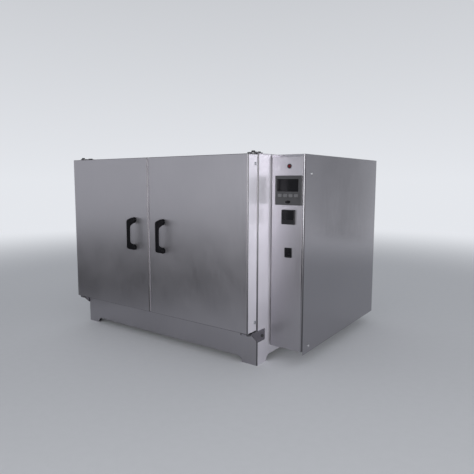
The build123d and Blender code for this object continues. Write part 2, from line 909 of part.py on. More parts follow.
def door_skin(door):
    """Outer pan of a door: its front and four sides in one sheet, with rounded front edges."""
    with BuildPart() as skin:
        outline = door_outline(door, 0, y_door_back)
        hollow = door_outline(door, sheet, y_door_back + sheet)
        extrude(outline.moved(Location((0, 0, z_door[0]))), amount=z_door[1] - z_door[0])
        front_face = skin.faces().sort_by(Axis.Y)[0]
        fillet(front_face.edges().filter_by(Axis.X), door_edge_radius)
        extrude(
            hollow.moved(Location((0, 0, z_door[0] + sheet))),
            amount=z_door[1] - z_door[0] - 2 * sheet,
            mode=Mode.SUBTRACT,
        )
        handle_places = [(door.x_handle, z) for z in handle_screw_levels]
        hole(facing_front(y_door), handle_places, screw_radius + hairline, 2 * sheet)
        for z in z_door:
            hole(Plane.XY.offset(z), [(door.x_pivot, y_pivot)], socket_collar + hairline, 2 * sheet)
        hole(
            facing_right(door.outer),
            [(y_socket_screw, z) for z in socket_screw_levels],
            screw_radius + hairline,
            2 * sheet,
        )
    return skin.part


def door_liner(door):
    """Inner pan of a door: a back plate inside the skin's rim, with a tapered plug for the opening."""
    plug_outer = door.outer - door.side * (side_wall + plug_clearance)
    plug_x = (door.meeting + door.side * plug_meeting_margin, plug_outer)
    plug_z = (z_open[0] + plug_clearance, z_open[1] - plug_clearance)
    with BuildPart() as liner:
        with BuildSketch(facing_rear(y_door_back - sheet)):
            area((-door.x_inside[0], -door.x_inside[1]), z_door_inside)
        extrude(amount=sheet)
        with BuildSketch(facing_rear(y_door_back)):
            area((-plug_x[0], -plug_x[1]), plug_z)
        extrude(amount=plug_depth, taper=plug_taper)
        with BuildSketch(facing_rear(y_door_back - sheet)):
            area(
                (-plug_x[0] - door.side * sheet, -plug_x[1] + door.side * sheet),
                (plug_z[0] + sheet, plug_z[1] - sheet),
            )
        extrude(amount=plug_depth, taper=plug_taper, mode=Mode.SUBTRACT)
    return liner.part


def door_insulation(door):
    """Wool slab between a door's skin and its liner, cut away round the pivot blocks and the screws."""
    slab_y = (y_door + sheet + fit, y_door_back - sheet - fit)
    block_edge = door.outer - door.side * (sheet + socket_block[0] + 3 * fit)
    with BuildPart() as slab:
        outline = door_outline(door, sheet + fit, slab_y[1])
        extrude(outline.moved(Location((0, 0, z_door_inside[0]))), amount=z_door_inside[1] - z_door_inside[0])
        with BuildSketch(facing_rear(y_socket_back - socket_block[1] - fit)):
            for z in (
                (door_bottom, door_bottom + sheet + socket_block[2] + 3 * fit),
                (z_door_top, z_door_top - sheet - socket_block[2] - 3 * fit),
            ):
                area((-door.outer, -block_edge), z)
        extrude(amount=door_thickness, mode=Mode.SUBTRACT)
        hole(
            facing_front(slab_y[0]),
            [(door.x_handle, z) for z in handle_screw_levels],
            screw_head_radius + fit,
            screw_head + fit,
        )
    return slab.part


def door_gasket(door):
    """Seal round a door's plug on three sides, and on the left door the strip at the meeting edge."""
    run = gasket_inset + gasket_width / 2
    x_run = door.outer - door.side * run
    x_end = door.meeting + door.side * fit
    with BuildPart() as seal:
        with BuildSketch(facing_rear(y_door_back)):
            bent_sheet(
                [
                    (-x_end, z_door_top - run),
                    (-x_run, z_door_top - run),
                    (-x_run, door_bottom + run),
                    (-x_end, door_bottom + run),
                ],
                gasket_corner,
                gasket_width,
            )
        extrude(amount=door_gap - fit)
        if door.side < 0:
            with BuildSketch(facing_right(door.meeting)):
                area(
                    (y_door + meeting_seal_inset, y_door + meeting_seal_inset + meeting_seal_depth),
                    (door_bottom + corner_radius, z_door_top - corner_radius),
                )
            extrude(amount=door_split - 2 * fit)
    return seal.part


def handle(door):
    """Bridge handle: a flat bow with rounded edges on two flared feet."""
    y_bar = y_door - handle_reach + handle_bar / 2
    ends = (handle_height - foot_spacing / 2, handle_height + foot_spacing / 2)
    with BuildPart() as grip:
        with BuildSketch(facing_right(door.x_handle)):
            bent_sheet(
                [(y_door, ends[0]), (y_bar, ends[0]), (y_bar, ends[1]), (y_door, ends[1])],
                handle_bend,
                handle_bar,
            )
        extrude(amount=handle_width / 2, both=True)
        bow_edges = grip.faces().filter_by(Axis.X).edges()
        fillet(bow_edges.filter_by(lambda edge: abs(edge.center().Y - y_door) > handle_bar / 4), handle_edge)
        for z in ends:
            rod((door.x_handle, y_door, z), (0, -1, 0), handle_foot / 2, handle_foot / 2, head_taper)
        hole(facing_front(y_door), [(door.x_handle, z) for z in ends], screw_radius + hairline, screw_shank)
    return grip.part


def pivot_sockets(door):
    """Blocks inside a door's outer corners that turn on the pins, each with a collar through the skin."""
    block_outer = door.outer - door.side * (sheet + fit)
    block_x = (block_outer, block_outer - door.side * socket_block[0])
    block_y = (y_socket_back - socket_block[1], y_socket_back)
    with BuildPart() as sockets:
        for z, inward in ((door_bottom, 1), (z_door_top, -1)):
            with BuildSketch(Plane.XY.offset(z + inward * (sheet + fit))):
                area(block_x, block_y)
            extrude(amount=inward * socket_block[2])
            collar_seat = z - inward * (tongue_drop - fit)
            rod((door.x_pivot, y_pivot, collar_seat), (0, 0, inward), tongue_drop + sheet, socket_collar)
            bore_depth = pin_engagement + socket_bore_spare
            hole(Plane.XY.offset(z), [(door.x_pivot, y_pivot)], pin_radius + running_fit, bore_depth)
        hole(
            facing_right(door.outer),
            [(y_socket_screw, z) for z in socket_screw_levels],
            screw_radius + running_fit,
            screw_shank,
        )
    return sockets.part


def door_screws(door):
    """Screws of a door: two from inside into the handle, two through its side into the pivot blocks."""
    with BuildPart() as screws:
        for z in handle_screw_levels:
            screw((door.x_handle, y_door + sheet, z), (0, -1, 0))
        for z in socket_screw_levels:
            screw((door.outer, y_socket_screw, z), (-door.side, 0, 0))
    return screws.part


for door in doors:
    finish(f"door_skin_{door.name}", door_skin(door))
    finish(f"door_liner_{door.name}", door_liner(door))
    finish(f"door_insulation_{door.name}", door_insulation(door))
    finish(f"door_gasket_{door.name}", door_gasket(door))
    finish(f"handle_{door.name}", handle(door))
    finish(f"pivot_sockets_{door.name}", pivot_sockets(door))
    finish(f"door_screws_{door.name}", door_screws(door))

# Magnets on the front frame that hold the doors shut

with BuildPart() as door_magnets:
    with BuildSketch(facing_front(y_front)):
        for side in (-1, 1):
            with Locations((x_middle + side * magnet_from_middle, z_door_top - magnet_below_top)):
                Rectangle(*magnet_size)
    extrude(amount=door_gap - magnet_air)
finish("door_magnets", door_magnets.part)

# Control box: folded chassis with pressed standoffs against the cabinet and a post for the cover

y_chassis = (y_fascia + fascia_return + fit, y_rear)
z_post_top = z_box_top - sheet - fit
standoffs = [
    (y, z)
    for y in (y_chassis[0] + standoff_inset[0], y_chassis[1] - standoff_inset[0])
    for z in (control_bottom + standoff_inset[1], z_box_top - standoff_inset[1])
]
y_post = (y_fascia + post_from_front[0], y_fascia + post_from_front[1])
cover_screw_heights = (control_bottom + cover_screw_low, z_box_top - cover_screw_drop)
cover_screw_places = [(y_fascia + cover_screw_from_front, z) for z in cover_screw_heights]
x_cover_screw = x_box[1] - cover_rear_flange / 2
cover_back_places = [(-x_cover_screw, z) for z in cover_screw_heights]

with BuildPart() as control_chassis:
    with BuildSketch(facing_rear(y_chassis[0])):
        bent_sheet(
            [
                (-x_box[0] - sheet / 2, z_post_top),
                (-x_box[0] - sheet / 2, control_bottom + sheet / 2),
                (-x_cover + fit, control_bottom + sheet / 2),
            ],
            fascia_bend,
        )
    extrude(amount=y_chassis[1] - cover_bend - y_chassis[0])
    with BuildSketch(facing_right(x_box[0])):
        area((y_chassis[1] - cover_bend, y_chassis[1]), (control_bottom + fascia_bend, z_post_top))
    extrude(amount=sheet)
    with BuildSketch(facing_right(x_right)):
        with Locations(*standoffs):
            Circle(standoff_radius)
    extrude(amount=seam)
    with BuildSketch(Plane.XY.offset(control_bottom + sheet)):
        area((x_cover - fit, x_cover - fit - sheet), y_post)
        area((x_cover - fit, x_cover - fit - post), (y_post[0], y_post[0] + sheet))
    extrude(amount=z_post_top - control_bottom - sheet)
    hole(facing_right(x_cover), cover_screw_places, small_screw_radius + hairline, 3 * sheet)
    wall_penetrations(x_chassis, 2 * sheet)
finish("control_chassis", control_chassis.part)

# Cover: side and top, with a rounded front edge beside the fascia

cover_section = [
    (x_box[1] - cover_front_flange, y_fascia + sheet / 2),
    (x_box[1] - sheet / 2, y_fascia + sheet / 2),
    (x_box[1] - sheet / 2, y_rear - sheet / 2),
    (x_box[1] - cover_rear_flange, y_rear - sheet / 2),
]
flange_edge = x_box[1] - cover_front_flange

with BuildPart() as control_cover:
    with BuildSketch(Plane.XY.offset(control_cover_bottom)):
        bent_sheet(cover_section, cover_bend)
    extrude(amount=z_box_top - control_cover_bottom)
    with BuildSketch(facing_right(x_box[1])):
        area((y_fascia, y_fascia + cover_bend), (control_cover_bottom, control_bottom))
    extrude(amount=-cover_front_flange, mode=Mode.SUBTRACT)
    with BuildSketch(Plane.XY.offset(z_box_top)) as roof_outline:
        area((x_box[0] - seam + fit, x_box[1]), (y_fascia + cover_top_setback, y_rear))
        area((flange_edge, x_box[1]), (y_fascia, y_rear))
        fillet(roof_outline.vertices().sort_by(Axis.X)[-2:], cover_bend)
    extrude(amount=-sheet)
    with BuildSketch(facing_rear(y_fascia + cover_top_setback)):
        area((-x_box[0], -flange_edge), (z_box_top - cover_top_lip, z_box_top))
    extrude(amount=sheet)
    hole(facing_right(x_box[1]), cover_screw_places, small_screw_radius + hairline, 2 * sheet)
    hole(facing_rear(y_rear), cover_back_places, small_screw_radius + hairline, 2 * sheet)
finish("control_cover", control_cover.part)

# Fascia, with the instruments' cut-outs and returns at its left edge and its foot

fascia_right = flange_edge - hairline

with BuildPart() as control_fascia:
    with BuildSketch(Plane.XY.offset(control_bottom)):
        bent_sheet(
            [
                (x_box[0] + sheet / 2, y_fascia + fascia_return),
                (x_box[0] + sheet / 2, y_fascia + sheet / 2),
                (fascia_right, y_fascia + sheet / 2),
            ],
            fascia_bend,
        )
    extrude(amount=fascia_top - control_bottom)
    with BuildSketch(Plane.XY.offset(control_bottom)):
        area((x_box[0] + sheet, fascia_right), (y_fascia + sheet / 2, y_fascia + fascia_return))
    extrude(amount=sheet)
    with BuildSketch(facing_front(y_fascia)):
        with Locations((x_line, controller_height)):
            Rectangle(controller_case + 2 * cutout_clearance, controller_case + 2 * cutout_clearance)
        with Locations((x_line, limiter_height)):
            Rectangle(limiter_case + 2 * cutout_clearance, limiter_case + 2 * cutout_clearance)
        with Locations((x_line, rocker_height)):
            Rectangle(rocker_body[0] + 2 * cutout_clearance, rocker_body[1] + 2 * cutout_clearance)
        with Locations((x_line, lamp_height)):
            Circle(lamp_body_radius + cutout_clearance)
    extrude(amount=2 * sheet, both=True, mode=Mode.SUBTRACT)
finish("control_fascia", control_fascia.part)

# Back of the control box, with louvre slots and the hole of the cable gland

x_back = (x_chassis + fit, x_box[1] - cover_bend)
x_gland = (x_back[0] + x_back[1]) / 2
y_back_plate = y_rear - sheet - fit

with BuildPart() as control_back:
    with BuildSketch(facing_front(y_back_plate)):
        area(x_back, (control_bottom + fascia_bend, z_box_top - sheet - fit))
        with Locations((x_gland, (control_bottom + z_box_top) / 2)):
            with GridLocations(louvre[0], louvre_group_pitch, 1, 2):
                with GridLocations(louvre[0] + louvre_pitch, louvre_pitch, 2, louvre_rows):
                    Rectangle(*louvre, mode=Mode.SUBTRACT)
        with Locations((x_gland, gland_height)):
            Circle(gland_radius + hairline, mode=Mode.SUBTRACT)
    extrude(amount=sheet)
    hole(facing_rear(y_back_plate), cover_back_places, small_screw_radius + hairline, 2 * sheet)
finish("control_back", control_back.part)

with BuildPart() as cable_gland:
    gland_seat = (x_gland, y_back_plate, gland_height)
    rod(gland_seat, (0, -1, 0), sheet + gland_inside, gland_radius)
    with BuildSketch(facing_rear(y_back_plate)):
        with Locations((-x_gland, gland_height)):
            RegularPolygon(gland_nut, 6)
    extrude(amount=gland_nut_height)
    rod(gland_seat, (0, 1, 0), gland_reach, gland_radius, 6)
    with BuildSketch(facing_front(y_back_plate - sheet)):
        with Locations((x_gland, gland_height)):
            RegularPolygon(gland_nut, 6)
    extrude(amount=gland_nut_height)
    hole(facing_front(y_back_plate), [(x_gland, gland_height)], gland_bore, 2 * gland_reach)
finish("cable_gland", cable_gland.part)

with BuildPart() as panel_screws:
    for place in cover_screw_places:
        small_screw((x_box[1], *place), (-1, 0, 0))
    for z in cover_screw_heights:
        small_screw((x_cover_screw, y_rear, z), (0, -1, 0))
    for x in rear_screw_columns:
        for z in rear_screw_levels:
            small_screw((x, y_rear, z), (0, -1, 0))
finish("panel_screws", panel_screws.part)

# Temperature controller: bezel and case, window, four keys


def instrument_body(height, size, reach, case, case_depth):
    """Square bezel on the fascia with its case behind the panel, added to the open part."""
    with BuildSketch(facing_front(y_fascia)) as bezel:
        with Locations((x_line, height)):
            RectangleRounded(size, size, corner_radius / 2)
    extrude(bezel.sketch, amount=reach)
    with BuildSketch(facing_front(y_fascia)) as box:
        with Locations((x_line, height)):
            Rectangle(case, case)
    extrude(box.sketch, amount=-case_depth)


def pocket(plane, place, size, clearance, depth):
    """Rectangular recess from the plane inwards."""
    with BuildSketch(plane) as recess:
        with Locations(place):
            Rectangle(size[0] + 2 * clearance, size[1] + 2 * clearance)
    extrude(recess.sketch, amount=-depth, mode=Mode.SUBTRACT)


controller_front = y_fascia - controller_reach
window_place = (x_line + controller_window_offset, controller_height + controller_window_rise)
key_places = [(x_line + (n - 1.5) * key_pitch, controller_height - key_drop) for n in range(4)]

with BuildPart() as controller_body:
    instrument_body(controller_height, controller_size, controller_reach, controller_case, controller_case_depth)
    fillet(controller_body.faces().sort_by(Axis.Y)[0].edges(), badge_rise)
    pocket(facing_front(controller_front), window_place, controller_window, fit, window_thickness + fit)
    for place in key_places:
        pocket(facing_front(controller_front), place, key_size, fit, key_pocket)
    with BuildSketch(facing_front(controller_front)):
        with Locations((x_line, controller_height - badge_drop)):
            Ellipse(badge_size[0] / 2, badge_size[1] / 2)
    extrude(amount=badge_rise)
finish("controller_body", controller_body.part)


def window(place, size, front):
    """Flat lens seated in its recess."""
    with BuildPart() as lens:
        with BuildSketch(facing_front(front)):
            with Locations(place):
                RectangleRounded(*size, fit)
        extrude(amount=-window_thickness)
    return lens.part


finish("controller_window", window(window_place, controller_window, controller_front))

key_depth = key_pocket - key_travel - fit

for number, place in enumerate(key_places, 1):
    with BuildPart() as key:
        with BuildSketch(facing_front(controller_front + key_depth)):
            with Locations(place):
                RectangleRounded(*key_size, corner_radius / 2)
        extrude(amount=key_depth + key_stand)
        fillet(key.faces().sort_by(Axis.Y)[0].edges(), badge_rise)
    finish(f"key_{number}", key.part)

# Over-temperature limiter

limiter_front = y_fascia - limiter_reach
limiter_window_place = (x_line, limiter_height + limiter_window_rise)

with BuildPart() as limiter_body:
    instrument_body(limiter_height, limiter_size, limiter_reach, limiter_case, limiter_case_depth)
    fillet(limiter_body.faces().sort_by(Axis.Y)[0].edges(), badge_rise)
    pocket(facing_front(limiter_front), limiter_window_place, limiter_window, fit, window_thickness + fit)
finish("limiter_body", limiter_body.part)
finish("limiter_window", window(limiter_window_place, limiter_window, limiter_front))

# Mains switch: bezel with a hollow body, and the rocker that tilts in it

with BuildPart() as rocker_frame:
    with BuildSketch(facing_front(y_fascia)):
        with Locations((x_line, rocker_height)):
            RectangleRounded(*rocker_bezel, corner_radius / 2)
    extrude(amount=rocker_bezel_reach)
    with BuildSketch(facing_front(y_fascia)):
        with Locations((x_line, rocker_height)):
            Rectangle(*rocker_body)
    extrude(amount=-rocker_body_depth)
    pocket(
        facing_front(y_fascia - rocker_bezel_reach),
        (x_line, rocker_height),
        rocker_opening,
        0,
        rocker_bezel_reach + rocker_body_depth - sheet,
    )
finish("rocker_bezel", rocker_frame.part)

rocker_width = rocker_opening[0] - 2 * fit

with BuildPart() as rocker:
    with BuildSketch(facing_right(x_line - rocker_width / 2)):
        with BuildLine():
            Polyline(
                (y_fascia, rocker_height + rocker_half),
                (y_fascia - rocker_lift, rocker_height + rocker_half),
                (y_fascia - rocker_dish, rocker_height),
                (y_fascia - rocker_lift, rocker_height - rocker_half),
                (y_fascia, rocker_height - rocker_half),
            )
            ThreePointArc(
                (y_fascia, rocker_height - rocker_half),
                (y_fascia + rocker_half, rocker_height),
                (y_fascia, rocker_height + rocker_half),
            )
        make_face()
    extrude(amount=rocker_width)
rocker_at_rest = rocker.part.rotate(Axis((0, y_fascia, rocker_height), (1, 0, 0)), -rocker_tilt)
finish("rocker", rocker_at_rest)

# Pilot lamp

with BuildPart() as lamp_bezel:
    rod((x_line, y_fascia, lamp_height), (0, -1, 0), lamp_bezel_reach, lamp_bezel_radius, head_taper)
    rod((x_line, y_fascia, lamp_height), (0, 1, 0), lamp_body_depth, lamp_body_radius)
    hole(facing_front(y_fascia), [(x_line, lamp_height)], lamp_lens_radius + fit, 2 * lamp_bezel_reach)
finish("lamp_bezel", lamp_bezel.part)

lens_back = y_fascia + 2 * lamp_bezel_reach

with BuildPart() as lamp_lens:
    lens_length = lens_back - y_fascia + lamp_lens_reach
    rod((x_line, lens_back, lamp_height), (0, -1, 0), lens_length, lamp_lens_radius)
    fillet(lamp_lens.faces().sort_by(Axis.Y)[0].edges(), lamp_lens_radius * 0.6)
finish("lamp_lens", lamp_lens.part)

# Solid-state relay with a finned heat sink, on the chassis wall

with BuildPart() as relay:
    relay_y = (y_rear - relay_from_rear - relay_size[1], y_rear - relay_from_rear)
    relay_z = (relay_height, relay_height + relay_size[2])
    fin_pitch = relay_size[1] / relay_fin_count
    with BuildSketch(facing_right(x_chassis)):
        area(relay_y, relay_z)
    extrude(amount=relay_size[0])
    with BuildSketch(facing_right(x_chassis + 2 * relay_fin)):
        for n in range(relay_fin_count):
            start = relay_y[0] + n * fin_pitch + relay_fin
            area((start, start + fin_pitch - relay_fin), relay_z)
    extrude(amount=relay_size[0] / 2, mode=Mode.SUBTRACT)
finish("relay", relay.part)

# Export

os.makedirs("parts", exist_ok=True)
for name, part in parts.items():
    export_step(part, f"parts/{name}.step")
print(len(parts), "parts")
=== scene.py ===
import math

import bpy
import bmesh
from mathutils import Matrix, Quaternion, Vector


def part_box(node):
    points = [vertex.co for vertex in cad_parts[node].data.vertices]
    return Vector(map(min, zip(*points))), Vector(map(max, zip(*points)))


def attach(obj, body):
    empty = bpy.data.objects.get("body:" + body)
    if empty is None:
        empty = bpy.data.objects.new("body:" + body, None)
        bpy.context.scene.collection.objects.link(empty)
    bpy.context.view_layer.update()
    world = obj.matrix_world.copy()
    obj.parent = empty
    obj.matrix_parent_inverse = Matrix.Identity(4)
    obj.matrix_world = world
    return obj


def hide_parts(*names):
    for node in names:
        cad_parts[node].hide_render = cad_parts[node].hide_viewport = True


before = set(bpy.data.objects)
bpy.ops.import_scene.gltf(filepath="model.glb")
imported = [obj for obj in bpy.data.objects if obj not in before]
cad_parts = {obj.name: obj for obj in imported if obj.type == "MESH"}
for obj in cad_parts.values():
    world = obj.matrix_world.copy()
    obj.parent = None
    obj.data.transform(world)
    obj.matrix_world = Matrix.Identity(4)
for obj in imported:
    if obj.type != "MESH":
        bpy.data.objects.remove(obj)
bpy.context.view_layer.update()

MM = 0.001

# Reference points of the cabinet, from the model
right_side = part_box("side_panel_right")[1][0]
front_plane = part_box("front_frame")[0][1]

# Camera, in metres from the cabinet's right front edge on the floor
PHOTO_SIDE = 474
CAMERA_PLACE = (0.8078, -1.2694, 0.6223)
CAMERA_YAW = 36.36
CAMERA_PITCH = -6.30
FOCAL_PIXELS = 463.93
CENTRE_PIXEL = (226.6, 231.19)
SENSOR = 36.0


def add_camera():
    data = bpy.data.cameras.new("camera")
    data.sensor_width = SENSOR
    data.lens = FOCAL_PIXELS * SENSOR / PHOTO_SIDE
    data.shift_x = (PHOTO_SIDE / 2 - CENTRE_PIXEL[0]) / PHOTO_SIDE
    data.shift_y = (CENTRE_PIXEL[1] - PHOTO_SIDE / 2) / PHOTO_SIDE
    camera = bpy.data.objects.new("camera", data)
    camera.location = (right_side + CAMERA_PLACE[0], front_plane + CAMERA_PLACE[1], CAMERA_PLACE[2])
    camera.rotation_euler = (math.radians(90 + CAMERA_PITCH), 0, math.radians(CAMERA_YAW))
    bpy.context.collection.objects.link(camera)
    bpy.context.scene.camera = camera


add_camera()


# Node helpers


NOISE_ROUGHNESS = 0.55
NOISE_SPAN = (0.3, 0.7)
BEVEL_SAMPLES = 4


class Nodes:
    """A material's or the world's node tree, with a shorter way to add and join nodes."""

    def __init__(self, tree):
        self.tree = tree
        tree.nodes.clear()

    def add(self, kind, **values):
        node = self.tree.nodes.new(kind)
        for key, value in values.items():
            setattr(node, key, value)
        return node

    def join(self, source, target):
        self.tree.links.new(source, target)


def new_material(name):
    material = bpy.data.materials.new(name)
    material.use_nodes = True
    return material, Nodes(material.node_tree)


def noise(nodes, scale, stretch=(1, 1, 1), detail=3.0):
    """Noise in the object's own metres, stretched along its axes. A larger stretch is finer."""
    place = nodes.add("ShaderNodeTexCoord")
    mapping = nodes.add("ShaderNodeMapping")
    mapping.inputs["Scale"].default_value = stretch
    texture = nodes.add("ShaderNodeTexNoise")
    texture.inputs["Scale"].default_value = scale
    texture.inputs["Detail"].default_value = detail
    texture.inputs["Roughness"].default_value = NOISE_ROUGHNESS
    nodes.join(place.outputs["Object"], mapping.inputs["Vector"])
    nodes.join(mapping.outputs["Vector"], texture.inputs["Vector"])
    return texture.outputs["Fac"]


def spread(nodes, source, low, high):
    """Maps a noise, which stays near the middle, to a range."""
    return mapped(nodes, source, "LINEAR", *NOISE_SPAN, low, high)


def ranged(nodes, value, start, end, low, high):
    """Smooth step of a value between two results."""
    return mapped(nodes, value, "SMOOTHSTEP", start, end, low, high)


def mapped(nodes, value, kind, start, end, low, high):
    step = nodes.add("ShaderNodeMapRange", interpolation_type=kind)
    for key, number in zip(("From Min", "From Max", "To Min", "To Max"), (start, end, low, high)):
        step.inputs[key].default_value = number
    nodes.join(value, step.inputs["Value"])
    return step.outputs["Result"]


def product(nodes, first, second):
    times = nodes.add("ShaderNodeMath", operation="MULTIPLY")
    nodes.join(first, times.inputs[0])
    nodes.join(second, times.inputs[1])
    return times.outputs["Value"]


def tinted(nodes, colour, factor):
    """A colour whose brightness follows a factor."""
    scaled = nodes.add("ShaderNodeVectorMath", operation="SCALE")
    scaled.inputs[0].default_value = colour
    nodes.join(factor, scaled.inputs["Scale"])
    return scaled.outputs["Vector"]


def surface(nodes, metallic, **values):
    """Main shader with its output. The values are its sockets, with _ for a space."""
    shader = nodes.add("ShaderNodeBsdfPrincipled")
    shader.inputs["Metallic"].default_value = metallic
    for key, value in values.items():
        shader.inputs[key.replace("_", " ")].default_value = value
    out = nodes.add("ShaderNodeOutputMaterial")
    nodes.join(shader.outputs["BSDF"], out.inputs["Surface"])
    return shader


def bumped(nodes, shader, height, strength, distance, edge):
    """Bump from a height, over edges that are rounded in the shading only."""
    bevel = nodes.add("ShaderNodeBevel", samples=BEVEL_SAMPLES)
    bevel.inputs["Radius"].default_value = edge
    bump = nodes.add("ShaderNodeBump")
    bump.inputs["Strength"].default_value = strength
    bump.inputs["Distance"].default_value = distance
    nodes.join(height, bump.inputs["Height"])
    nodes.join(bevel.outputs["Normal"], bump.inputs["Normal"])
    nodes.join(bump.outputs["Normal"], shader.inputs["Normal"])


# Stretch of the streaks for sheet brushed along an axis
GRAIN = {"x": (0.02, 1.0, 1.0), "y": (1.0, 0.02, 1.0), "z": (1.0, 1.0, 0.02)}
STREAK_SCALE = 900.0
STREAK_HEIGHT = 0.00005
STREAK_ROUGHNESS = 0.05
SMEAR_SCALE = 5.0
SMEAR_ROUGHNESS = 0.03
SHEET_EDGE = 0.0008
# Where bends start, and the tone of their painted shade
BEND_EDGE = (0.93, 0.995)
BEND_PAINTED_SHADE = 0.3
# Where the faces to the left and right start: they get painted light and more roughness where asked
FLANK_EDGE = (0.95, 0.99)

# Grain of what isn't brushed
BROAD_SCALE = 25.0
FINE_HEIGHT = 0.00004
CAST_ROUGHNESS = 0.05
CAST_EDGE = 0.0005


def normal_parts(nodes):
    """How far a surface faces each of the object's own axes, from 0 to 1."""
    place = nodes.add("ShaderNodeTexCoord")
    size = nodes.add("ShaderNodeVectorMath", operation="ABSOLUTE")
    parts = nodes.add("ShaderNodeSeparateXYZ")
    nodes.join(place.outputs["Normal"], size.inputs[0])
    nodes.join(size.outputs["Vector"], parts.inputs["Vector"])
    return parts.outputs


def bend_painted_shade(nodes, parts):
    """One on flat faces and less on bends: painted shade that dims the highlights of bends."""
    largest = parts["X"]
    for axis in ("Y", "Z"):
        larger = nodes.add("ShaderNodeMath", operation="MAXIMUM")
        nodes.join(largest, larger.inputs[0])
        nodes.join(parts[axis], larger.inputs[1])
        largest = larger.outputs["Value"]
    return ranged(nodes, largest, *BEND_EDGE, BEND_PAINTED_SHADE, 1.0)


def brushed(name, colour, roughness, grain, depth=0.25, variation=0.05, across=0.0, flank_light_and_roughness=(1.0, 1.0)):
    """Brushed sheet: fine streaks along one axis, faint smears, and painted shade on its bends.

    across is how much more it blurs across its streaks. The last argument's two factors multiply the
    tone and the roughness of the faces to the left and right; the brighter tone there is painted
    light.
    """
    material, nodes = new_material(name)
    shader = surface(nodes, 1.0, Anisotropic=across)
    tangent = nodes.add("ShaderNodeTangent", direction_type="RADIAL", axis=grain.upper())
    nodes.join(tangent.outputs["Tangent"], shader.inputs["Tangent"])
    streaks = noise(nodes, STREAK_SCALE, GRAIN[grain], detail=2.0)
    smears = noise(nodes, SMEAR_SCALE, detail=4.0)
    tone = product(
        nodes,
        spread(nodes, streaks, 1 - variation, 1 + variation),
        spread(nodes, smears, 1 - variation / 2, 1 + variation / 2),
    )
    parts = normal_parts(nodes)
    # Painted shade: bends get a darker tone, which dims their highlights
    tone = product(nodes, tone, bend_painted_shade(nodes, parts))
    # Painted light: the faces to the left and right get a brighter tone
    tone = product(nodes, tone, ranged(nodes, parts["X"], *FLANK_EDGE, 1.0, flank_light_and_roughness[0]))
    rough = nodes.add("ShaderNodeMath", operation="ADD")
    fine = spread(nodes, streaks, roughness - STREAK_ROUGHNESS, roughness + STREAK_ROUGHNESS)
    nodes.join(fine, rough.inputs[0])
    nodes.join(spread(nodes, smears, -SMEAR_ROUGHNESS, SMEAR_ROUGHNESS), rough.inputs[1])
    duller = ranged(nodes, parts["X"], *FLANK_EDGE, 1.0, flank_light_and_roughness[1])
    nodes.join(tinted(nodes, colour, tone), shader.inputs["Base Color"])
    nodes.join(product(nodes, rough.outputs["Value"], duller), shader.inputs["Roughness"])
    bumped(nodes, shader, streaks, depth, STREAK_HEIGHT, SHEET_EDGE)
    return material


def cast(name, colour, roughness, metallic=0.0, grain=1500.0, depth=0.3, variation=0.12, **more):
    """Moulded plastic, rubber, paint or plain metal: fine grain, with a little uneven tone."""
    material, nodes = new_material(name)
    shader = surface(nodes, metallic, **more)
    fine = noise(nodes, grain, detail=2.0)
    broad = noise(nodes, BROAD_SCALE, detail=3.0)
    tone = spread(nodes, broad, 1 - variation, 1 + variation)
    rough = spread(nodes, broad, roughness - CAST_ROUGHNESS, roughness + CAST_ROUGHNESS)
    nodes.join(tinted(nodes, colour, tone), shader.inputs["Base Color"])
    nodes.join(rough, shader.inputs["Roughness"])
    bumped(nodes, shader, fine, depth, FINE_HEIGHT, CAST_EDGE)
    return material


def dress(material, *names):
    """Gives CAD nodes a material."""
    for name in names:
        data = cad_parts[name].data
        data.materials.clear()
        data.materials.append(material)


# Materials

STEEL = (0.36, 0.35, 0.375)
# Tone and roughness factors for faces to the left and right: the tone factor is painted light
PAINTED_FLANK_LIGHT_AND_ROUGHNESS = (1.9, 1.45)
FINE = {"depth": 0.08, "variation": 0.025}
# The doors' steel and the right side panel's steel get painted light on their left and right faces
door_steel = brushed("door_steel", STEEL, 0.38, "z", across=0.7, flank_light_and_roughness=PAINTED_FLANK_LIGHT_AND_ROUGHNESS, **FINE)
case_steel = brushed("case_steel", STEEL, 0.36, "z", across=0.7, **FINE)
strip_steel_painted_light = brushed("strip_steel_painted_light", STEEL, 0.36, "z", across=0.7, flank_light_and_roughness=PAINTED_FLANK_LIGHT_AND_ROUGHNESS, **FINE)
side_steel = brushed("side_steel", STEEL, 0.2, "z", across=0.2, **FINE)
top_steel = brushed("top_steel", STEEL, 0.3, "x", across=0.7, **FINE)
inner_steel = brushed("inner_steel", (0.55, 0.55, 0.55), 0.28, "y")
zinc = cast("zinc", (0.42, 0.43, 0.45), 0.38, metallic=1.0, grain=120.0)
bright = cast("bright", (0.72, 0.72, 0.72), 0.16, metallic=1.0, grain=900.0, depth=0.08)
wire = cast("wire", (0.62, 0.62, 0.62), 0.2, metallic=1.0, grain=900.0, depth=0.08)
blackened = cast("blackened", (0.02, 0.02, 0.022), 0.5, Specular_IOR_Level=0.3)
dull_steel = cast("dull_steel", (0.16, 0.16, 0.165), 0.5, metallic=1.0)
machined = brushed("machined", (0.4, 0.4, 0.41), 0.35, "z")
scorched = cast("scorched", (0.12, 0.1, 0.09), 0.45, metallic=0.8, variation=0.3)
motor_paint = cast("motor_paint", (0.05, 0.055, 0.065), 0.45, grain=400.0)
wool = cast("wool", (0.55, 0.5, 0.36), 0.95, grain=600.0, depth=0.9, variation=0.2)
silicone = cast("silicone", (0.025, 0.025, 0.026), 0.6)
handle_plastic = cast("handle_plastic", (0.003, 0.003, 0.004), 0.5, Specular_IOR_Level=0.1)
case_plastic = cast("case_plastic", (0.05, 0.05, 0.053), 0.5, Specular_IOR_Level=0.25)
window_plastic = cast(
    "window_plastic", (0.002, 0.002, 0.003), 0.16, grain=300.0, depth=0.02, Specular_IOR_Level=0.16,
)
dark_plastic = cast("dark_plastic", (0.012, 0.012, 0.013), 0.45, Specular_IOR_Level=0.2)
